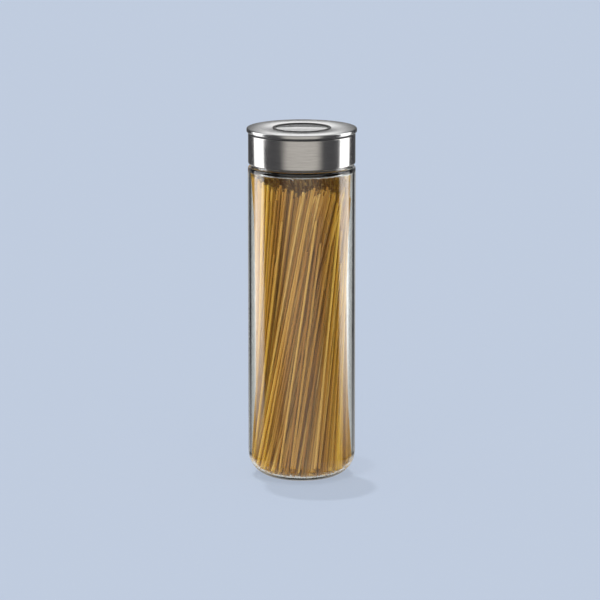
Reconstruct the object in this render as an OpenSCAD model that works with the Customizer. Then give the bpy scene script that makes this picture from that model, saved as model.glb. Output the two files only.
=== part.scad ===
// Tall storage canister: a one-piece glass jar and a push-on steel lid with a round window.
// The origin is the middle of the base, on the surface the jar stands on. +Z is up.

/* [Jar] */
// Outer diameter of the glass
jar_d = 95; // [84:0.5:110]
// Height of the glass from the foot to the flat of the shoulder
shoulder_h = 279; // [120:0.2:300]
// Thickness of the glass wall
wall_t = 2.4; // [1.8:0.1:3]
// Thickness of the glass floor, measured from the surface the foot stands on
floor_t = 3.2; // [3.2:0.1:8]
// Radius of the outer corner between the wall and the foot
base_corner_r = 22; // [12:0.5:24]
// Radius of the outer corner of the shoulder
shoulder_r = 2.2; // [1.6:0.1:3.2]
// How far the neck stands in from the wall, on each side
neck_inset = 4.1; // [4:0.1:4.6]
// Height of the neck above the shoulder
neck_h = 30.4; // [26:0.2:36]
// Depth of the hollow under the base
punt_depth = 1.2; // [0.6:0.1:2]

/* [Lid] */
// Gap between the shoulder and the lower edge of the skirt
lid_gap = 1.9; // [1.5:0.1:4]
// How far the plug reaches down past the flat of the shoulder
plug_drop = 1; // [0:0.5:2]
// Thickness of the steel sheet of the skirt
sheet_t = 0.6; // [0.4:0.1:0.7]
// How far the rim of the top plate stands out past the skirt
rim_overhang = 1.35; // [0.8:0.05:2]
// Height of the rim of the top plate
rim_h = 3.4; // [2.4:0.1:3.6]
// Height of the shadow groove between the rim and the skirt
groove_h = 1.5; // [0.8:0.1:1.6]
// Radius of the rolled-in lower edge of the skirt
skirt_roll_r = 2; // [1.2:0.1:2.4]

/* [Window] */
// Diameter of the round hole in the top plate
window_d = 51.6; // [40:0.2:54]
// Width of the gasket ring that shows around the lens
gasket_w = 2.4; // [1.8:0.1:3]
// How far the middle of the lens rises above its edge
lens_rise = 0.6; // [0.3:0.1:0.8]

/* [Seal] */
// Radial clearance between the seal's lips and the mouth
seal_clearance = 0.05; // [0.03:0.01:0.1]
// Number of lips on the seal
seal_lips = 3; // [2:1:3]

/* [Hidden] */
$fn = 128;
// A cut reaches this far past what it cuts, and a joined shape this far into its neighbour
spare = 1;

// Jar, whose inside corner is tighter than its outside one at the base, and wider at the shoulder
jar_r = jar_d / 2;
inner_r = jar_r - wall_t;
base_corner_step = 4;
inner_base_r = base_corner_r - base_corner_step;
neck_r = jar_r - neck_inset;
neck_wall_t = 2.6;
mouth_r = neck_r - neck_wall_t;
lip_r = neck_wall_t / 2;
lip_z = shoulder_h + neck_h;
neck_fillet_r = 0.7;
shoulder_corner_step = 0.4;
inner_shoulder_r = shoulder_r + shoulder_corner_step;
shoulder_t = 2.6;
foot_ring_w = 7;
punt_r = jar_r - base_corner_r - foot_ring_w;

// Lid levels, from the lip of the jar up to the top face and back down the skirt
rest_gap = 0.2;
web_t = 2.5;
top_sheet_t = 0.8;
web_z = lip_z + rest_gap;
plate_under_z = web_z + web_t;
plate_z = plate_under_z + top_sheet_t;
rim_z = plate_z - rim_h;
skirt_top_z = rim_z - groove_h;
skirt_z = shoulder_h + lid_gap;

// Steel
skirt_inset = 0.15;
skirt_r = jar_r - skirt_inset;
skirt_top_roll_r = 0.8;
rim_r = skirt_r + rim_overhang;
rim_corner_r = 1;
rim_hem_r = 0.8;

// Liner, whose head stands back behind the shadow groove
liner_r = skirt_r - sheet_t;
liner_wall_t = 1.6;
liner_head_t = 2.6;
liner_head_h = 4;
groove_depth = 1.4;
groove_r = liner_r - groove_depth;
flange_clearance = 0.05;
collar_t = 2;
brim_t = 0.4;
plug_clearance = 1;
plug_r = mouth_r - plug_clearance;
plug_wall_t = 2.4;
plug_z = shoulder_h - plug_drop;

// Seal, seated in a groove round the plug
plug_nose_h = 5;
seal_z = plug_z + plug_nose_h;
seal_h = 8;
seal_depth = 1.2;
seal_band_t = 0.2;
seal_lip_t = 1;
seal_lip_r = mouth_r - seal_clearance;
seal_lip_step = (seal_h - seal_lip_t) / (seal_lips - 1);

// Window, whose gasket stands proud of the top plate
window_r = window_d / 2;
lens_view_r = window_r - gasket_w;
lens_seat_t = 1.1;
lens_r = window_r - lens_seat_t;
lens_t = 2.6;
lens_sunk = 0.2;
lens_edge_z = plate_z - lens_sunk;
lens_under_z = lens_edge_z - lens_t;
lens_dome_r = (lens_view_r * lens_view_r + lens_rise * lens_rise) / (2 * lens_rise);
dome_sides = 1440;
gasket_lip_t = 0.6;
gasket_z = lens_under_z - gasket_lip_t;
retainer_wall_t = 2.6;
retainer_r = window_r + retainer_wall_t;
retainer_t = 1.6;
retainer_z = gasket_z - retainer_t;

// Half of a round slab from the axis out to r, with its two outer corners rounded
module rounded_half(r, low_z, high_z, low_r, high_r) {
    height = high_z - low_z;
    translate([0, low_z]) square([r - low_r, height]);
    translate([0, low_z + low_r]) square([r - high_r, height - low_r]);
    translate([0, low_z + low_r]) square([r, height - low_r - high_r]);
    translate([r - low_r, low_z + low_r]) circle(low_r);
    translate([r - high_r, high_z - high_r]) circle(high_r);
}

// Rectangle between two radii and two heights
module band(in_r, out_r, low_z, high_z) {
    translate([in_r, low_z]) square([out_r - in_r, high_z - low_z]);
}

// Fillet in the corner where the neck rises from the flat of the shoulder
module neck_fillet() {
    difference() {
        band(neck_r - spare, neck_r + neck_fillet_r, shoulder_h - spare, shoulder_h + neck_fillet_r);
        translate([neck_r + neck_fillet_r, shoulder_h + neck_fillet_r]) circle(neck_fillet_r);
    }
}

// Outside of the glass, from the foot to the rounded lip
module jar_outside() {
    rounded_half(jar_r, 0, shoulder_h, base_corner_r, shoulder_r);
    neck_fillet();
    band(0, neck_r, shoulder_h - spare, lip_z - lip_r);
    band(0, neck_r - lip_r, shoulder_h, lip_z);
    translate([neck_r - lip_r, lip_z - lip_r]) circle(lip_r);
}

// Space inside the glass, from the floor to above the lip, whose inner half stays round
module jar_inside() {
    rounded_half(inner_r, floor_t, shoulder_h - shoulder_t, inner_base_r, inner_shoulder_r);
    band(0, mouth_r, floor_t + inner_base_r, lip_z - lip_r);
    difference() {
        band(0, neck_r - lip_r, lip_z - lip_r, lip_z + spare);
        translate([neck_r - lip_r, lip_z - lip_r]) circle(lip_r);
    }
}

module glass_jar() {
    color([0.8, 0.88, 0.86, 0.35]) rotate_extrude() difference() {
        jar_outside();
        jar_inside();
        band(0, punt_r, -spare, punt_depth);
    }
}

// Steel band, with its lower edge rolled in and its upper edge folded over the liner
module lid_skirt() {
    color([0.66, 0.66, 0.65]) rotate_extrude() difference() {
        rounded_half(skirt_r, skirt_z, skirt_top_z, skirt_roll_r, skirt_top_roll_r);
        rounded_half(skirt_r - sheet_t, skirt_z + sheet_t, skirt_top_z - sheet_t,
                     skirt_roll_r - sheet_t, skirt_top_roll_r - sheet_t);
        band(0, groove_r + flange_clearance, skirt_z - spare, skirt_top_z + spare);
    }
}

// Steel disc with a hemmed rim and a round hole for the window
module lid_top_plate() {
    color([0.7, 0.7, 0.7]) rotate_extrude() difference() {
        rounded_half(rim_r, rim_z, plate_z, rim_hem_r, rim_corner_r);
        band(0, liner_r, rim_z - spare, plate_under_z);
        band(0, window_r, rim_z, plate_z + spare);
    }
}

// Clear disc with a shallow dome on top
module window_lens() {
    color([0.75, 0.8, 0.82, 0.4]) rotate_extrude() {
        band(0, lens_r, lens_under_z, lens_edge_z);
        intersection() {
            band(0, lens_view_r, lens_edge_z - spare, lens_edge_z + lens_rise);
            translate([0, lens_edge_z + lens_rise - lens_dome_r]) circle(lens_dome_r, $fn = dome_sides);
        }
    }
}

// Rubber channel that grips the edge of the lens
module window_gasket() {
    color([0.06, 0.06, 0.06]) rotate_extrude() difference() {
        band(lens_view_r, window_r, gasket_z, lens_edge_z + gasket_lip_t);
        band(0, lens_r, lens_under_z, lens_edge_z);
    }
}

// Ring that holds the gasket and lens up against the top plate
module window_retainer() {
    color([0.2, 0.2, 0.21]) rotate_extrude() difference() {
        band(lens_view_r, retainer_r, retainer_z, plate_under_z);
        band(0, window_r, gasket_z, plate_under_z + spare);
    }
}

// Moulded inner lid: a flat web, the wall behind the skirt, the plug and the window's collar
module lid_liner() {
    color([0.16, 0.16, 0.17]) rotate_extrude() difference() {
        union() {
            band(retainer_r, liner_r, web_z, plate_under_z);
            band(liner_r - liner_wall_t, liner_r, skirt_z + skirt_roll_r + spare, web_z + spare);
            band(liner_r - liner_head_t, liner_r, skirt_top_z - liner_head_h, web_z + spare);
            band(plug_r - plug_wall_t, plug_r, plug_z, web_z + spare);
            band(retainer_r, retainer_r + collar_t, retainer_z, web_z + spare);
        }
        band(plug_r - seal_depth, plug_r + spare, seal_z, seal_z + seal_h);
        band(groove_r, liner_r + spare, skirt_top_z - sheet_t - flange_clearance, rim_z + brim_t);
    }
}

// Silicone ring with flat lips that press on the inside of the mouth
module seal_ring() {
    color([0.75, 0.76, 0.75]) rotate_extrude() {
        band(plug_r - seal_depth, plug_r + seal_band_t, seal_z, seal_z + seal_h);
        for (lip = [0 : seal_lips - 1]) {
            lip_low_z = seal_z + lip * seal_lip_step;
            band(plug_r, seal_lip_r, lip_low_z, lip_low_z + seal_lip_t);
        }
    }
}

glass_jar();
lid_skirt();
lid_top_plate();
window_lens();
window_gasket();
window_retainer();
lid_liner();
seal_ring();
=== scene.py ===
import math
import random

import bmesh
import bpy
from mathutils import Matrix, Vector


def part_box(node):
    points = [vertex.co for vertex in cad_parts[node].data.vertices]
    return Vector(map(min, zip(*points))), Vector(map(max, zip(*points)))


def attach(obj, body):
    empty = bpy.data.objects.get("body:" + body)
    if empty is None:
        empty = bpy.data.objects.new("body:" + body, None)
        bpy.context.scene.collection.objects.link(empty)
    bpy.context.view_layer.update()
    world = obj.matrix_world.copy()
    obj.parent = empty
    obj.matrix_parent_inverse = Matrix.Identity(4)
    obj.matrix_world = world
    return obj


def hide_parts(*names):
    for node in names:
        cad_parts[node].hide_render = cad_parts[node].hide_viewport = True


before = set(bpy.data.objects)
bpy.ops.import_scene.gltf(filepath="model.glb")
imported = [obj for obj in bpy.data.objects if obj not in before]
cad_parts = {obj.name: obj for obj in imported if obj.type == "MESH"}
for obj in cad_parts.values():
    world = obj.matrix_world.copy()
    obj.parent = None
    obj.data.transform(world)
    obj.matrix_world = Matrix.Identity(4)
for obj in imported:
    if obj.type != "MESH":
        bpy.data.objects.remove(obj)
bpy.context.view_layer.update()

MM = 0.001
SIDES = 192
WELD = 0.001 * MM
CREASE = math.radians(32)


# ---------------------------------------------------------------- measures, read from the parts in model.glb or given

def reach(node):
    """Radius that a turned node fills on all four sides."""
    low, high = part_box(node)
    return min(high.x, high.y, -low.x, -low.y)


def bottom(node):
    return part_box(node)[0].z


def top(node):
    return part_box(node)[1].z


JAR_R = reach("glass_jar")
LIP_Z = top("glass_jar")
NECK_H = 30.4 * MM
NECK_INSET = 4.1 * MM
NECK_WALL = 2.6 * MM
SHOULDER_T = 2.6 * MM
FOOT_RING_W = 7 * MM
SHOULDER_Z = LIP_Z - NECK_H
WALL = 2.4 * MM
FLOOR_Z = 3.2 * MM
BASE_ROUND = 22 * MM
INNER_BASE_ROUND = BASE_ROUND - 4 * MM
NECK_R = JAR_R - NECK_INSET
MOUTH_R = NECK_R - NECK_WALL
PUNT_R = JAR_R - BASE_ROUND - FOOT_RING_W
PUNT_Z = 1.2 * MM
UNDER_SHOULDER_Z = SHOULDER_Z - SHOULDER_T
INNER_R = JAR_R - WALL

SKIRT_R = reach("lid_skirt")
SKIRT_Z = bottom("lid_skirt")
SKIRT_TOP_Z = top("lid_skirt")
SHEET = 0.6 * MM

PLATE_Z = top("lid_top_plate")
RIM_R = reach("lid_top_plate")
RIM_Z = bottom("lid_top_plate")

LINER_R = reach("lid_liner")
WEB_TOP_Z = top("lid_liner")
WEB_Z = WEB_TOP_Z - 2.5 * MM
PLUG_Z = bottom("lid_liner")
PLUG_R = MOUTH_R - 1 * MM
PLUG_WALL = 2.4 * MM
GROOVE_R = LINER_R - 1.4 * MM

SEAL_Z = bottom("seal_ring")
SEAL_TOP_Z = top("seal_ring")
SEAL_R = reach("seal_ring")
SEAL_SEAT_R = PLUG_R - 1.2 * MM

WINDOW_R = reach("window_gasket")
GASKET_Z = bottom("window_gasket")
GASKET_TOP_Z = top("window_gasket")
VIEW_R = WINDOW_R - 2.4 * MM
LENS_R = reach("window_lens")
LENS_Z = bottom("window_lens")
LENS_EDGE_Z = GASKET_TOP_Z - 0.6 * MM
LENS_RISE = 0.6 * MM
RETAINER_R = reach("window_retainer")
RETAINER_Z = bottom("window_retainer")


# ---------------------------------------------------------------- turning tools

def select_ring(piece, radius, height):
    """Selects the edges of one ring, by its radius and height."""
    mesh = bmesh.from_edit_mesh(piece.data)
    near = 0.002 * MM

    def on_ring(vert):
        away = abs(vert.co.xy.length - radius) + abs(vert.co.z - height)
        return away < near

    bpy.ops.mesh.select_all(action="DESELECT")
    for edge in mesh.edges:
        if on_ring(edge.verts[0]) and on_ring(edge.verts[1]):
            edge.select_set(True)
    bmesh.update_edit_mesh(piece.data)


def start_ring(name, radius, height):
    """A ring of edges, selected in edit mode and ready to be pulled into a shape."""
    bpy.ops.object.select_all(action="DESELECT")
    bpy.ops.mesh.primitive_circle_add(vertices=SIDES, radius=radius, location=(0, 0, height))
    piece = bpy.context.object
    piece.name = piece.data.name = name
    bpy.ops.object.transform_apply(location=True, rotation=True, scale=True)
    bpy.ops.object.mode_set(mode="EDIT")
    bpy.context.tool_settings.mesh_select_mode = (False, True, False)
    bpy.ops.mesh.select_all(action="SELECT")
    return piece


def pull_ring(here, there):
    """Extrudes the selected ring and takes the copy to a new radius and height."""
    rise = there[1] - here[1]
    bpy.ops.mesh.extrude_edges_move(TRANSFORM_OT_translate={"value": (0, 0, rise)})
    spread = there[0] / here[0]
    bpy.ops.transform.resize(value=(spread, spread, 1), center_override=(0, 0, there[1]))


def round_ring(piece, radius, height, roundness, steps):
    """Bevels one ring into an arc."""
    select_ring(piece, radius, height)
    bpy.ops.mesh.bevel(offset=roundness, segments=steps, profile=0.5, affect="EDGES")


def cap_ring(piece, radius, height):
    """Closes a flat ring with one face."""
    select_ring(piece, radius, height)
    bpy.ops.mesh.edge_face_add()


def finish_turning(piece):
    bpy.ops.mesh.select_all(action="SELECT")
    bpy.ops.mesh.remove_doubles(threshold=WELD)
    bpy.ops.mesh.normals_make_consistent(inside=False)
    bpy.ops.object.mode_set(mode="OBJECT")
    bpy.ops.object.shade_smooth_by_angle(angle=CREASE)


def turn_piece(name, outline, rounds=(), closed=True):
    """A turned piece, pulled ring by ring along half of its cross-section.

    A closed outline comes back to its first ring. An open one has a flat cap at both ends.
    """
    piece = start_ring(name, *outline[0])
    points = list(outline) + ([outline[0]] if closed else [])
    for here, there in zip(points, points[1:]):
        pull_ring(here, there)
    bpy.ops.mesh.select_all(action="SELECT")
    bpy.ops.mesh.remove_doubles(threshold=WELD)
    if not closed:
        cap_ring(piece, *outline[0])
        cap_ring(piece, *outline[-1])
    for radius, height, roundness, steps in rounds:
        round_ring(piece, radius, height, roundness, steps)
    finish_turning(piece)
    return piece


# ---------------------------------------------------------------- pieces

def make_jar():
    """Blown glass: foot ring and hollow, wall, shoulder, neck and rounded lip, one closed skin."""
    outline = [
        (PUNT_R, PUNT_Z), (PUNT_R, 0), (JAR_R, 0), (JAR_R, SHOULDER_Z),
        (NECK_R, SHOULDER_Z), (NECK_R, LIP_Z), (MOUTH_R, LIP_Z),
        (MOUTH_R, UNDER_SHOULDER_Z), (INNER_R, UNDER_SHOULDER_Z), (INNER_R, FLOOR_Z),
    ]
    lip = NECK_WALL / 2 - 0.01 * MM
    rounds = [
        (PUNT_R, 0, 0.5 * MM, 3),
        (JAR_R, 0, BASE_ROUND, 20),
        (JAR_R, SHOULDER_Z, 2.2 * MM, 8),
        (NECK_R, SHOULDER_Z, 0.7 * MM, 4),
        (NECK_R, LIP_Z, lip, 5),
        (MOUTH_R, LIP_Z, lip, 5),
        (MOUTH_R, UNDER_SHOULDER_Z, 0.25 * MM, 2),
        (INNER_R, UNDER_SHOULDER_Z, 2.55 * MM, 8),
        (INNER_R, FLOOR_Z, INNER_BASE_ROUND, 18),
    ]
    return turn_piece("jar_glass", outline, rounds, closed=False)


def make_skirt():
    """Sheet steel band, rolled in at the foot and folded over the liner at the head."""
    end_r = GROOVE_R + 0.05 * MM
    inside_r = SKIRT_R - SHEET
    outline = [
        (end_r, SKIRT_Z), (SKIRT_R, SKIRT_Z), (SKIRT_R, SKIRT_TOP_Z), (end_r, SKIRT_TOP_Z),
        (end_r, SKIRT_TOP_Z - SHEET), (inside_r, SKIRT_TOP_Z - SHEET),
        (inside_r, SKIRT_Z + SHEET), (end_r, SKIRT_Z + SHEET),
    ]
    rounds = [
        (SKIRT_R, SKIRT_Z, 1.9 * MM, 8),
        (SKIRT_R, SKIRT_TOP_Z, 0.8 * MM, 5),
        (inside_r, SKIRT_TOP_Z - SHEET, 0.2 * MM, 2),
        (inside_r, SKIRT_Z + SHEET, 1.3 * MM, 6),
    ]
    return turn_piece("skirt_steel", outline, rounds)


def make_top_plate():
    """Steel disc with a hemmed rim and the window's round hole."""
    under_z = WEB_TOP_Z
    outline = [
        (WINDOW_R, under_z), (WINDOW_R, PLATE_Z), (RIM_R, PLATE_Z),
        (RIM_R, RIM_Z), (LINER_R, RIM_Z), (LINER_R, under_z),
    ]
    rounds = [
        (WINDOW_R, PLATE_Z, 0.2 * MM, 3),
        (RIM_R, PLATE_Z, 1 * MM, 6),
        (RIM_R, RIM_Z, 0.8 * MM, 5),
        (LINER_R, RIM_Z, 0.3 * MM, 2),
    ]
    return turn_piece("top_plate_steel", outline, rounds)


def make_gasket():
    """Rubber channel round the lens, with soft lips."""
    outline = [
        (VIEW_R, GASKET_Z), (WINDOW_R, GASKET_Z), (WINDOW_R, GASKET_TOP_Z),
        (VIEW_R, GASKET_TOP_Z), (VIEW_R, LENS_EDGE_Z), (LENS_R, LENS_EDGE_Z),
        (LENS_R, LENS_Z), (VIEW_R, LENS_Z),
    ]
    rounds = [
        (WINDOW_R, GASKET_TOP_Z, 0.2 * MM, 3),
        (VIEW_R, GASKET_TOP_Z, 0.25 * MM, 3),
        (VIEW_R, GASKET_Z, 0.2 * MM, 2),
    ]
    return turn_piece("gasket_rubber", outline, rounds)


def make_lens():
    """Clear disc with a shallow dome that rises from its edge."""
    dome_steps = 10
    dome_r = (VIEW_R ** 2 + LENS_RISE ** 2) / (2 * LENS_RISE)
    outline = [(LENS_R, LENS_Z), (LENS_R, LENS_EDGE_Z)]
    for step in range(dome_steps):
        radius = VIEW_R * (1 - step / dome_steps)
        sag = dome_r - math.sqrt(dome_r ** 2 - radius ** 2)
        outline.append((radius, LENS_EDGE_Z + LENS_RISE - sag))
    return turn_piece("lens_clear", outline, closed=False)


def make_retainer():
    """Plastic ring that clamps the gasket and lens from below."""
    outline = [
        (VIEW_R, RETAINER_Z), (RETAINER_R, RETAINER_Z), (RETAINER_R, WEB_TOP_Z),
        (WINDOW_R, WEB_TOP_Z), (WINDOW_R, GASKET_Z), (VIEW_R, GASKET_Z),
    ]
    rounds = [
        (VIEW_R, RETAINER_Z, 0.5 * MM, 4),
        (RETAINER_R, RETAINER_Z, 0.3 * MM, 3),
    ]
    return turn_piece("retainer_plastic", outline, rounds)


def make_liner():
    """Moulded inner lid, followed from the window's collar out to the wall behind the skirt."""
    collar_r = RETAINER_R + 2 * MM
    plug_inner_r = PLUG_R - PLUG_WALL
    head_r = LINER_R - 2.6 * MM
    head_z = SKIRT_TOP_Z - 4 * MM
    wall_r = LINER_R - 1.6 * MM
    wall_z = SKIRT_Z + 3 * MM
    shelf_z = SKIRT_TOP_Z - SHEET - 0.05 * MM
    brim_z = RIM_Z + 0.4 * MM
    outline = [
        (RETAINER_R, RETAINER_Z), (collar_r, RETAINER_Z), (collar_r, WEB_Z),
        (plug_inner_r, WEB_Z), (plug_inner_r, PLUG_Z), (PLUG_R, PLUG_Z),
        (PLUG_R, SEAL_Z), (SEAL_SEAT_R, SEAL_Z), (SEAL_SEAT_R, SEAL_TOP_Z),
        (PLUG_R, SEAL_TOP_Z), (PLUG_R, WEB_Z), (head_r, WEB_Z), (head_r, head_z),
        (wall_r, head_z), (wall_r, wall_z), (LINER_R, wall_z), (LINER_R, shelf_z),
        (GROOVE_R, shelf_z), (GROOVE_R, brim_z), (LINER_R, brim_z),
        (LINER_R, WEB_TOP_Z), (RETAINER_R, WEB_TOP_Z),
    ]
    rounds = [
        (collar_r, RETAINER_Z, 0.4 * MM, 3),
        (collar_r, WEB_Z, 0.6 * MM, 3),
        (plug_inner_r, WEB_Z, 0.8 * MM, 4),
        (plug_inner_r, PLUG_Z, 0.6 * MM, 4),
        (PLUG_R, PLUG_Z, 0.9 * MM, 4),
        (wall_r, wall_z, 0.4 * MM, 3),
    ]
    return turn_piece("liner_moulding", outline, rounds)


def make_seal():
    """Silicone ring with three flat lips."""
    lips = 3
    lip_t = 1 * MM
    band_r = PLUG_R + 0.2 * MM
    lip_step = (SEAL_TOP_Z - SEAL_Z - lip_t) / (lips - 1)
    outline = [(SEAL_SEAT_R, SEAL_TOP_Z), (SEAL_SEAT_R, SEAL_Z)]
    rounds = []
    for lip in range(lips):
        low_z = SEAL_Z + lip * lip_step
        outline += [(SEAL_R, low_z), (SEAL_R, low_z + lip_t)]
        rounds += [(SEAL_R, low_z, 0.3 * MM, 3), (SEAL_R, low_z + lip_t, 0.3 * MM, 3)]
        if lip < lips - 1:
            outline += [(band_r, low_z + lip_t), (band_r, low_z + lip_step)]
    return turn_piece("seal_silicone", outline, rounds)


# ---------------------------------------------------------------- shader tools

def put(tree, kind, settings=None, **inputs):
    """Adds a shader node. An input takes a value, or a socket to link from."""
    new = tree.nodes.new("ShaderNode" + kind)
    for name, value in (settings or {}).items():
        setattr(new, name, value)
    for name, value in inputs.items():
        socket = new.inputs[name.replace("_", " ")]
        if isinstance(value, bpy.types.NodeSocket):
            tree.links.new(value, socket)
        else:
            socket.default_value = value
    return new


def calculate(tree, operation, *values):
    """Adds a Math node and gives back its result."""
    new = tree.nodes.new("ShaderNodeMath")
    new.operation = operation
    for socket, value in zip(new.inputs, values):
        if isinstance(value, bpy.types.NodeSocket):
            tree.links.new(value, socket)
        else:
            socket.default_value = value
    return new.outputs[0]


def ramp(tree, factor, stops, ease="LINEAR"):
    """Adds a colour ramp of (place, grey or colour) stops and gives back its colour."""
    new = tree.nodes.new("ShaderNodeValToRGB")
    new.color_ramp.interpolation = ease
    marks = new.color_ramp.elements
    while len(marks) < len(stops):
        marks.new(0.5)
    for mark, (place, shade) in zip(marks, stops):
        mark.position = place
        mark.color = (*shade, 1) if isinstance(shade, tuple) else (shade, shade, shade, 1)
    tree.links.new(factor, new.inputs[0])
    return new.outputs[0]


def blend_colours(tree, factor, one, other):
    """Mixes two colours by a factor and gives back the result."""
    new = tree.nodes.new("ShaderNodeMix")
    new.data_type = "RGBA"
    for socket, value in zip((new.inputs[0], new.inputs[6], new.inputs[7]), (factor, one, other)):
        if isinstance(value, bpy.types.NodeSocket):
            tree.links.new(value, socket)
        else:
            socket.default_value = (*value, 1) if isinstance(value, tuple) else value
    return new.outputs[2]


def start_group(name, inputs, outputs):
    """A shader group with named number inputs and outputs. Gives back it and its two ends."""
    tree = bpy.data.node_groups.new(name, "ShaderNodeTree")
    for label, value in inputs.items():
        socket = tree.interface.new_socket(name=label, in_out="INPUT", socket_type="NodeSocketFloat")
        socket.default_value = value
    for label in outputs:
        tree.interface.new_socket(name=label, in_out="OUTPUT", socket_type="NodeSocketFloat")
    return tree, tree.nodes.new("NodeGroupInput"), tree.nodes.new("NodeGroupOutput")


def place_group(tree, group, **values):
    """Places a group in a material, with this material's own values."""
    new = tree.nodes.new("ShaderNodeGroup")
    new.node_tree = group
    for name, value in values.items():
        new.inputs[name.replace("_", " ")].default_value = value
    return new


def make_brushing_group():
    """Lines that run round the axis, fine and coarse, on a wall or on a flat disc."""
    tree, start, end = start_group(
        "Brushing round the axis",
        {"Lines per metre": 2500, "Shortness": 60},
        ["Fine lines", "Coarse lines"],
    )
    spot = put(tree, "TexCoord").outputs["Object"]
    parts = put(tree, "SeparateXYZ", Vector=spot).outputs
    squares = calculate(tree, "ADD", calculate(tree, "POWER", parts[0], 2),
                        calculate(tree, "POWER", parts[1], 2))
    across = calculate(tree, "ADD", calculate(tree, "SQRT", squares), parts[2])

    def lines(density, shortness, detail):
        where = put(tree, "CombineXYZ",
                    X=calculate(tree, "MULTIPLY", parts[0], shortness),
                    Y=calculate(tree, "MULTIPLY", parts[1], shortness),
                    Z=calculate(tree, "MULTIPLY", across, density)).outputs[0]
        return put(tree, "TexNoise", Vector=where, Scale=1, Detail=detail, Roughness=0.6).outputs[0]

    coarse_density = 0.42
    coarse_shortness = 0.4
    density, shortness = start.outputs[0], start.outputs[1]
    fine = lines(density, shortness, 3)
    coarse = lines(calculate(tree, "MULTIPLY", density, coarse_density),
                   calculate(tree, "MULTIPLY", shortness, coarse_shortness), 2)
    tree.links.new(fine, end.inputs["Fine lines"])
    tree.links.new(coarse, end.inputs["Coarse lines"])
    return tree


def make_marks_group():
    """Traces of use: soft smears from wiping, and specks of dust."""
    tree, start, end = start_group(
        "Traces of handling", {"Smears per metre": 45, "Specks per metre": 900}, ["Smears", "Specks"])
    spot = put(tree, "TexCoord").outputs["Object"]
    broad = put(tree, "TexNoise", Vector=spot, Scale=start.outputs[0], Detail=4, Roughness=0.62,
                Distortion=0.8).outputs[0]
    smears = ramp(tree, broad, [(0.46, 0.0), (0.72, 1.0)], "EASE")
    dots = put(tree, "TexVoronoi", Vector=spot, Scale=start.outputs[1]).outputs["Distance"]
    specks = ramp(tree, dots, [(0.05, 1.0), (0.12, 0.0)])
    tree.links.new(smears, end.inputs["Smears"])
    tree.links.new(specks, end.inputs["Specks"])
    return tree


def make_grain_group():
    """Fine grain of a moulded surface, with slow changes of shade."""
    tree, start, end = start_group(
        "Moulded grain", {"Grains per metre": 3500}, ["Grain", "Shade"])
    spot = put(tree, "TexCoord").outputs["Object"]
    grain = put(tree, "TexNoise", Vector=spot, Scale=start.outputs[0], Detail=3, Roughness=0.5).outputs[0]
    shade = put(tree, "TexNoise", Vector=spot, Scale=90, Detail=3, Roughness=0.5).outputs[0]
    tree.links.new(grain, end.inputs["Grain"])
    tree.links.new(shade, end.inputs["Shade"])
    return tree


# ---------------------------------------------------------------- materials

GLASS_IOR = 1.5


def start_material(name):
    """A material with one Principled shader. Gives back it, its tree and the shader."""
    material = bpy.data.materials.new(name)
    material.use_nodes = True
    tree = material.node_tree
    return material, tree, tree.nodes["Principled BSDF"]


def spread(tree, factor, low, high):
    """Takes a 0 to 1 value to a range."""
    return put(tree, "MapRange", Value=factor, To_Min=low, To_Max=high).outputs[0]


def set_plain(shader, **values):
    for name, value in values.items():
        shader.inputs[name.replace("_", " ")].default_value = value


def bump(tree, shader, height, distance):
    node = put(tree, "Bump", Height=height, Distance=distance, Strength=1.0)
    tree.links.new(node.outputs[0], shader.inputs["Normal"])


def steel_material(name, brushing, marks, dark, light, rough, lines, groove_depth, grain, edge_tint):
    """Stainless steel brushed round the axis."""
    fine_share = 0.6
    rough_swing = 0.015
    material, tree, shader = start_material(name)
    brush = place_group(tree, brushing, Lines_per_metre=lines, Shortness=100)
    trace = place_group(tree, marks)
    tone = calculate(tree, "ADD", calculate(tree, "MULTIPLY", brush.outputs["Fine lines"], fine_share),
                     calculate(tree, "MULTIPLY", brush.outputs["Coarse lines"], 1 - fine_share))
    clean = ramp(tree, tone, [(0.36, dark), (0.64, light)])
    touched = calculate(tree, "MULTIPLY", trace.outputs["Smears"], 0.35)
    colour = blend_colours(tree, touched, clean, dark)
    tree.links.new(colour, shader.inputs["Base Color"])
    roughness = calculate(
        tree, "ADD",
        spread(tree, brush.outputs["Coarse lines"], rough - rough_swing, rough + rough_swing),
        calculate(tree, "MULTIPLY", trace.outputs["Smears"], 0.06))
    tree.links.new(roughness, shader.inputs["Roughness"])
    set_plain(shader, Metallic=1.0, Anisotropic=grain, Anisotropic_Rotation=0.25,
              Specular_Tint=(edge_tint, edge_tint, edge_tint, 1))
    run = put(tree, "Tangent", {"direction_type": "RADIAL", "axis": "Z"}).outputs[0]
    tree.links.new(run, shader.inputs["Tangent"])
    bump(tree, shader, brush.outputs["Fine lines"], groove_depth)
    return material


def let_lamps_through(tree, shader, tint):
    """Lets lamp light straight through glass, so that what is inside is lit."""
    path = put(tree, "LightPath").outputs["Is Shadow Ray"]
    clear = put(tree, "BsdfTransparent", Color=(*tint, 1))
    mix = put(tree, "MixShader", Fac=path)
    tree.links.new(shader.outputs[0], mix.inputs[1])
    tree.links.new(clear.outputs[0], mix.inputs[2])
    out = next(n for n in tree.nodes if n.type == "OUTPUT_MATERIAL")
    tree.links.new(mix.outputs[0], out.inputs["Surface"])


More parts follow.
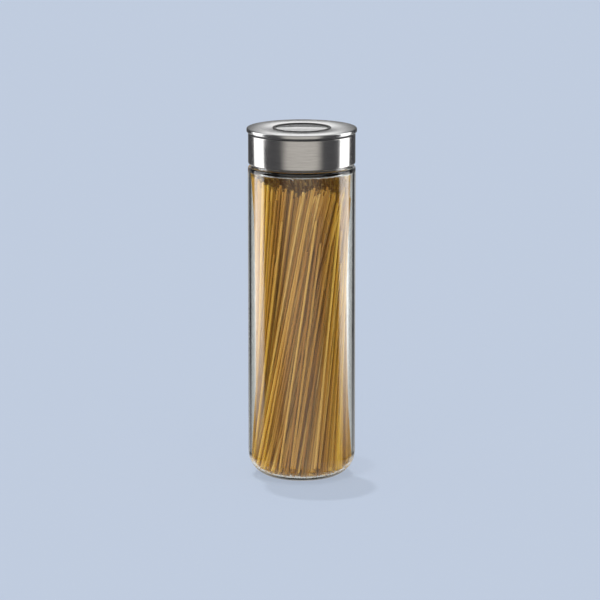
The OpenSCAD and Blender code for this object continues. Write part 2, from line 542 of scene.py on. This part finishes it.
def glass_material(name, marks, tint, wave):
    """Clear glass with slight waves from blowing, and faint wiping smears."""
    material, tree, shader = start_material(name)
    set_plain(shader, Metallic=0.0, Transmission_Weight=1.0, IOR=GLASS_IOR)
    trace = place_group(tree, marks, Smears_per_metre=28)
    roughness = calculate(tree, "MULTIPLY", trace.outputs["Smears"], 0.012)
    tree.links.new(roughness, shader.inputs["Roughness"])
    shade = ramp(tree, trace.outputs["Smears"], [(0.0, tint), (1.0, tuple(c * 0.985 for c in tint))])
    tree.links.new(shade, shader.inputs["Base Color"])
    spot = put(tree, "TexCoord").outputs["Object"]
    stretched = put(tree, "Mapping", Vector=spot, Scale=(1, 1, 0.35)).outputs[0]
    waves = put(tree, "TexNoise", Vector=stretched, Scale=70, Detail=2, Roughness=0.4).outputs[0]
    bump(tree, shader, waves, wave)
    let_lamps_through(tree, shader, tint)
    return material


def moulded_material(name, grain_group, dark, light, rough, depth):
    """Moulded plastic or rubber with a fine grain."""
    rough_swing = 0.06
    material, tree, shader = start_material(name)
    grain = place_group(tree, grain_group)
    colour = ramp(tree, grain.outputs["Shade"], [(0.35, dark), (0.65, light)])
    tree.links.new(colour, shader.inputs["Base Color"])
    tree.links.new(spread(tree, grain.outputs["Shade"], rough - rough_swing, rough + rough_swing),
                   shader.inputs["Roughness"])
    bump(tree, shader, grain.outputs["Grain"], depth)
    return material


def dress(piece, material):
    piece.data.materials.clear()
    piece.data.materials.append(material)


# ---------------------------------------------------------------- spaghetti, placed in the jar

PASTA_WALL_R = INNER_R - 1.3 * MM
STRAND_R = 1.05 * MM
STRAND_LENGTH = 261 * MM


def spaghetti_material():
    """Dry durum pasta: a different tan on each strand, with a painted glow, a deeper and brighter colour,
    towards the jar's two sides, and a faint painted glow all over.
    """
    material, tree, shader = start_material("dry_pasta")
    strand = put(tree, "NewGeometry").outputs["Random Per Island"]
    tan = ramp(tree, strand, [
        (0.0, (0.28, 0.12, 0.018)), (0.5, (0.44, 0.22, 0.038)), (0.85, (0.6, 0.35, 0.085)),
        (1.0, (0.84, 0.58, 0.22))])
    # Painted glow: a deeper, brighter colour that stands in for light shining through the strands at the
    # jar's two sides.
    painted_side_glow = ramp(tree, strand, [
        (0.0, (0.38, 0.18, 0.002)), (0.55, (0.56, 0.3, 0.008)), (1.0, (0.85, 0.56, 0.07))])
    spot = put(tree, "TexCoord").outputs["Object"]
    parts = put(tree, "SeparateXYZ", Vector=spot).outputs
    # Mask of the painted side glow: the farther a strand stands from the middle, left or right, the more
    # of it it gets.
    side = put(tree, "MapRange", {"interpolation_type": "SMOOTHSTEP"},
               Value=calculate(tree, "ABSOLUTE", parts[0]), From_Min=0.016, From_Max=0.034).outputs[0]
    tan_and_painted_glow = blend_colours(tree, calculate(tree, "MULTIPLY", side, 0.85), tan, painted_side_glow)
    mottle = put(tree, "TexNoise", Vector=spot, Scale=260, Detail=3).outputs[0]
    colour = blend_colours(tree, spread(tree, mottle, 0.0, 0.3), tan_and_painted_glow, (0.4, 0.2, 0.05))
    tree.links.new(colour, shader.inputs["Base Color"])
    # Painted fill light: the pasta glows faintly in its own colour, which lifts the shade between the
    # strands.
    tree.links.new(colour, shader.inputs["Emission Color"])
    set_plain(shader, Roughness=0.45, Emission_Strength=0.04)
    return material


def model_strand(length, radius):
    """One strand standing on the origin."""
    bpy.ops.object.select_all(action="DESELECT")
    bpy.ops.mesh.primitive_cylinder_add(vertices=7, radius=radius, depth=length,
                                        end_fill_type="NGON", location=(0, 0, length / 2))
    strand = bpy.context.object
    bpy.ops.object.transform_apply(location=True, rotation=True, scale=True)
    bpy.ops.object.shade_smooth_by_angle(angle=math.radians(60))
    return strand


def foot_height(radius):
    """Height of the jar's inside at a radius, up its rounded corner."""
    past = max(0.0, radius - (INNER_R - INNER_BASE_ROUND))
    return FLOOR_Z + INNER_BASE_ROUND - math.sqrt(INNER_BASE_ROUND ** 2 - past ** 2)


def lay_strand(pattern, angle, share, half, size):
    """Copies the strand, leans it against the jar's wall and cuts it to a share of its length.

    It stands at share of the wall's radius and is nearest the axis at the middle of its whole length.
    """
    middle_r = math.sqrt(PASTA_WALL_R ** 2 - half ** 2) * share
    middle = Vector((math.cos(angle), math.sin(angle), 0)) * middle_r
    lean = Vector((-math.sin(angle), math.cos(angle), 0)) * half * share
    low = middle - lean
    run = lean * 2 * size
    run.z = math.sqrt((STRAND_LENGTH * size) ** 2 - run.length ** 2)
    strand = pattern.copy()
    strand.data = pattern.data.copy()
    bpy.context.scene.collection.objects.link(strand)
    tilt = run.to_track_quat("Z", "Y").to_matrix().to_4x4()
    place = Matrix.Translation((low.x, low.y, foot_height(low.length) + 0.3 * MM))
    strand.matrix_world = place @ tilt @ Matrix.Diagonal((1, 1, size, 1))
    return strand


def bundle_spots(rng):
    """Places of the strands: a close grid, slightly shaken, and two rings that line the back."""
    pitch = 2.3 * MM
    row_share = 0.866
    shake = 0.4 * MM
    ring_strands = 70
    ring_step = 2.9
    rows = int(PASTA_WALL_R / pitch) + 1
    grid = range(-rows, rows + 1)
    spots = [((column + 0.5 * (row % 2)) * pitch + rng.uniform(-shake, shake),
              row * pitch * row_share + rng.uniform(-shake, shake))
             for row in grid for column in grid]
    for ring_r, start in ((PASTA_WALL_R, -10), (PASTA_WALL_R - 2.2 * MM, -8.5)):
        turns = [math.radians(start + step * ring_step) for step in range(ring_strands)]
        spots += [(ring_r * math.cos(turn), ring_r * math.sin(turn)) for turn in turns]
    return spots


def join_strands(strands):
    """Joins the strands into one object, with their places in its mesh."""
    bpy.ops.object.select_all(action="DESELECT")
    for strand in strands:
        strand.select_set(True)
    bpy.context.view_layer.objects.active = strands[0]
    bpy.ops.object.transform_apply(location=True, rotation=True, scale=True)
    bpy.ops.object.join()
    return bpy.context.object


def make_spaghetti():
    """A bundle that leans and twists in the jar. It isn't part of the canister."""
    rng = random.Random(7)
    front_half = 37 * MM
    side_half = 20 * MM
    front_share = 0.955
    loose_strands = 22
    pattern = model_strand(STRAND_LENGTH, STRAND_R)
    strands = []
    for x, y in bundle_spots(rng):
        share = math.hypot(x, y) / PASTA_WALL_R
        if share > 1.0001:
            continue
        angle = math.atan2(y, x)
        half = side_half + (front_half - side_half) * abs(math.sin(angle)) ** 1.5
        if angle < 0:
            half *= 1 + 0.2 * math.sin(5 * angle + 0.8) + rng.uniform(-0.2, 0.1)
            share = min(share, front_share)
        else:
            half *= rng.uniform(0.9, 1.05)
        half = min(half, 0.96 * PASTA_WALL_R)
        size = rng.uniform(0.972, 1.0) - 0.1 * max(0, 0.8 - share)
        size += 0.04 * max(0, math.sin(angle)) * share
        strands.append(lay_strand(pattern, angle + rng.uniform(-0.02, 0.02), share, half, size))
    for loose in range(loose_strands):
        angle = math.radians(rng.uniform(-155, -25))
        half = rng.uniform(14, 27) * MM
        strands.append(lay_strand(pattern, angle, 1.0, half, rng.uniform(0.7, 0.94)))
    bpy.data.objects.remove(pattern)
    bundle = join_strands(strands)
    bundle.name = bundle.data.name = "staged_spaghetti"
    return bundle


# ---------------------------------------------------------------- studio

PALE_BLUE = (0.5271, 0.6038, 0.7379)
FLOOR_GLOW = 0.7


def make_floor():
    """A wide pale floor that glows evenly and takes a faint shadow."""
    bpy.ops.object.select_all(action="DESELECT")
    bpy.ops.mesh.primitive_plane_add(size=60, location=(0, 0, -0.02 * MM))
    floor = bpy.context.object
    floor.name = floor.data.name = "floor"
    material, tree, shader = start_material("pale_floor")
    set_plain(shader, Base_Color=(*[c * 0.35 for c in PALE_BLUE], 1), Roughness=1.0,
              Specular_IOR_Level=0.0, Emission_Color=(*PALE_BLUE, 1), Emission_Strength=FLOOR_GLOW)
    dress(floor, material)
    floor.visible_glossy = False
    floor.visible_transmission = False
    return floor


def make_world():
    """Pale blue for the camera. Surfaces see a studio: a warm front, dark sides, a light back."""
    world = bpy.data.worlds.new("studio")
    bpy.context.scene.world = world
    world.use_nodes = True
    tree = world.node_tree
    background = tree.nodes["Background"]
    ray = put(tree, "TexCoord").outputs["Generated"]
    parts = put(tree, "SeparateXYZ", Vector=ray).outputs
    flat = calculate(tree, "SQRT", calculate(
        tree, "ADD", calculate(tree, "POWER", parts[0], 2), calculate(tree, "POWER", parts[1], 2)))
    facing = calculate(tree, "DIVIDE", parts[1], calculate(tree, "MAXIMUM", flat, 0.001))
    along = put(tree, "MapRange", Value=facing, From_Min=-1, From_Max=1).outputs[0]
    around = ramp(tree, along, [
        (0.0, (0.655, 0.63, 0.59)), (0.07, (0.63, 0.605, 0.565)), (0.16, (0.1, 0.1, 0.105)),
        (0.84, (0.05, 0.05, 0.055)), (0.965, (0.07, 0.07, 0.075)), (0.99, (0.24, 0.245, 0.25)),
    ])
    above = put(tree, "MapRange", Value=parts[2], From_Min=0.5, From_Max=0.8).outputs[0]
    sinking = put(tree, "MapRange", Value=parts[2], From_Min=-0.25, From_Max=-0.31).outputs[0]
    rear = put(tree, "MapRange", Value=along, From_Min=0.8, From_Max=0.9).outputs[0]
    under = put(tree, "MapRange", Value=parts[2], From_Min=-0.7, From_Max=-0.85).outputs[0]
    studio = blend_colours(tree, above, around, (0.5, 0.5, 0.49))
    studio = blend_colours(tree, calculate(tree, "MULTIPLY", sinking, rear), studio, (0.62, 0.62, 0.61))
    studio = blend_colours(tree, under, studio, (0.06, 0.06, 0.06))
    behind = ramp(tree, along, [
        (0.0, (0.6, 0.58, 0.53)), (0.15, (0.06, 0.06, 0.065)), (0.84, (0.02, 0.02, 0.022)),
        (0.965, (0.03, 0.03, 0.032)), (0.985, (0.7, 0.7, 0.7)),
    ])
    below = put(tree, "MapRange", Value=parts[2], From_Min=-0.2, From_Max=-0.35).outputs[0]
    through = blend_colours(tree, calculate(tree, "MAXIMUM", above, below), behind, (0.72, 0.72, 0.71))
    paths = put(tree, "LightPath").outputs
    seen_through = calculate(
        tree, "MULTIPLY", paths["Is Transmission Ray"],
        calculate(tree, "SUBTRACT", 1, calculate(tree, "MINIMUM", paths["Diffuse Depth"], 1)))
    surroundings = blend_colours(tree, seen_through, studio, through)
    background_colour = blend_colours(tree, paths["Is Camera Ray"], surroundings, PALE_BLUE)
    tree.links.new(background_colour, background.inputs["Color"])


def make_card(name, spot, aim, width, height, strength, feather, foot_feather, through=False):
    """A glowing card, softer towards its sides and foot. Glossy surfaces see it, and glass if through."""
    bpy.ops.object.select_all(action="DESELECT")
    bpy.ops.mesh.primitive_plane_add(size=1, location=spot)
    card = bpy.context.object
    card.name = card.data.name = name
    card.rotation_euler = (Vector(aim) - Vector(spot)).to_track_quat("Z", "Y").to_euler()
    card.scale = (width, height, 1)
    material, tree, shader = start_material(name)
    place = put(tree, "TexCoord").outputs["Object"]
    parts = put(tree, "SeparateXYZ", Vector=place).outputs
    across = put(tree, "MapRange", {"interpolation_type": "SMOOTHSTEP"},
                 Value=calculate(tree, "ABSOLUTE", parts[0]),
                 From_Min=0.5, From_Max=0.5 - feather).outputs[0]
    up = put(tree, "MapRange", {"interpolation_type": "SMOOTHSTEP"},
             Value=parts[1], From_Min=-0.5, From_Max=-0.5 + foot_feather).outputs[0]
    front = calculate(tree, "SUBTRACT", 1, put(tree, "NewGeometry").outputs["Backfacing"])
    glow = calculate(tree, "MULTIPLY", calculate(tree, "MULTIPLY", across, up), front)
    power = calculate(tree, "MULTIPLY", glow, strength)
    lamp = put(tree, "Emission", Strength=power)
    out = next(n for n in tree.nodes if n.type == "OUTPUT_MATERIAL")
    tree.links.new(lamp.outputs[0], out.inputs["Surface"])
    dress(card, material)
    card.visible_camera = False
    card.visible_diffuse = False
    card.visible_transmission = through
    card.visible_shadow = False


def make_cards():
    """Tall softboxes beside the canister, and one behind whose lower edge shows in the lid."""
    distance = 0.6
    side_z = 0.42
    back_z = 0.3685
    swing = math.radians(103)
    for side, name in ((-1, "left_softbox"), (1, "right_softbox")):
        spot = (side * distance * math.sin(swing), -distance * math.cos(swing), side_z)
        make_card(name, spot, (0, 0, side_z), width=0.38, height=1.2, strength=2.8,
                  feather=0.11, foot_feather=0.22, through=True)
    make_card("back_softbox", (0, 0.11, back_z), (0, 0, back_z), width=0.125, height=0.08,
              strength=1.5, feather=0.34, foot_feather=0.04)


def make_lamp(name, spot, aim, width, height, power, receivers):
    """A soft lamp that lights only the canister and what is in it."""
    lamp = bpy.data.lights.new(name, "AREA")
    lamp.shape = "RECTANGLE"
    lamp.size = width
    lamp.size_y = height
    lamp.energy = power
    box = bpy.data.objects.new(name, lamp)
    bpy.context.scene.collection.objects.link(box)
    box.location = spot
    box.rotation_euler = (Vector(aim) - Vector(spot)).to_track_quat("-Z", "Y").to_euler()
    box.visible_camera = False
    box.visible_glossy = False
    box.visible_transmission = False
    box.light_linking.receiver_collection = receivers


def make_lights(lit):
    """Diffuse light from both sides and the front, and two high suns that cast the soft shadow."""
    receivers = bpy.data.collections.new("lit_by_lamps")
    for piece in lit:
        receivers.objects.link(piece)
    for side, name in ((-1, "left_lamp"), (1, "right_lamp")):
        make_lamp(name, (side * 0.6, -0.12, 0.25), (0, 0, 0.15), width=0.4, height=0.5,
                  power=4.5, receivers=receivers)
    make_lamp("front_lamp", (-0.25, -1.0, 0.1), (0, 0, 0.04), width=0.6, height=0.4,
              power=6.6, receivers=receivers)
    for name, travel, energy in (("rear_sun", (17, -51, -313), 1.1), ("front_sun", (17, 31, -313), 0.45)):
        sun = bpy.data.lights.new(name, "SUN")
        sun.angle = math.radians(1.4)
        sun.energy = energy
        high = bpy.data.objects.new(name, sun)
        bpy.context.scene.collection.objects.link(high)
        high.rotation_euler = Vector(travel).to_track_quat("-Z", "Y").to_euler()
        high.visible_glossy = False
        high.visible_transmission = False


def make_camera():
    """Looks down at the canister from the front, through a long lens."""
    distance = 3.4735
    aside = -0.00155
    height = 0.85
    pitch = math.radians(11.265)
    focal_length = 239.5
    camera = bpy.data.cameras.new("camera")
    camera.lens = focal_length
    eye = bpy.data.objects.new("camera", camera)
    bpy.context.scene.collection.objects.link(eye)
    eye.location = (aside, -distance, height)
    eye.rotation_euler = (math.radians(90) - pitch, 0, 0)
    bpy.context.scene.camera = eye


# ---------------------------------------------------------------- build

jar = make_jar()
skirt = make_skirt()
plate = make_top_plate()
gasket = make_gasket()
lens = make_lens()
retainer = make_retainer()
liner = make_liner()
seal = make_seal()

brushing = make_brushing_group()
marks = make_marks_group()
grain = make_grain_group()

dress(jar, glass_material("clear_glass", marks, tint=(0.965, 0.985, 0.975), wave=0.02 * MM))
dress(lens, glass_material("window_glass", marks, tint=(0.97, 0.985, 0.98), wave=0.004 * MM))
dress(skirt, steel_material(
    "brushed_steel", brushing, marks, dark=(0.55, 0.54, 0.53), light=(0.68, 0.67, 0.66),
    rough=0.2, lines=3400, groove_depth=0.0025 * MM, grain=0.6, edge_tint=1.0))
dress(plate, steel_material(
    "satin_steel", brushing, marks, dark=(0.53, 0.53, 0.53), light=(0.67, 0.67, 0.67),
    rough=0.19, lines=4200, groove_depth=0.0015 * MM, grain=0.0, edge_tint=0.85))
dress(gasket, moulded_material(
    "black_rubber", grain, dark=(0.012, 0.012, 0.012), light=(0.02, 0.02, 0.02),
    rough=0.55, depth=0.01 * MM))
dark_plastic = moulded_material(
    "dark_plastic", grain, dark=(0.03, 0.03, 0.032), light=(0.045, 0.045, 0.048),
    rough=0.45, depth=0.012 * MM)
dress(retainer, dark_plastic)
dress(liner, dark_plastic)
dress(seal, moulded_material(
    "silicone", grain, dark=(0.52, 0.53, 0.52), light=(0.6, 0.61, 0.6),
    rough=0.4, depth=0.008 * MM))

spaghetti = make_spaghetti()
dress(spaghetti, spaghetti_material())
floor = make_floor()
make_world()
make_cards()
make_lights([jar, skirt, plate, gasket, lens, retainer, liner, seal, spaghetti])
make_camera()
bpy.context.scene.view_settings.view_transform = "Standard"

for piece, node, body, slot in (
    (jar, "glass_jar", "jar", "clear_glass"),
    (skirt, "lid_skirt", "lid", "brushed_steel"),
    (plate, "lid_top_plate", "lid", "satin_steel"),
    (lens, "window_lens", "lid", "window_glass"),
    (gasket, "window_gasket", "lid", "black_rubber"),
    (retainer, "window_retainer", "lid", "dark_plastic"),
    (liner, "lid_liner", "lid", "dark_plastic"),
    (seal, "seal_ring", "lid", "silicone"),
):
    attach(piece, body)
    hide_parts(node)
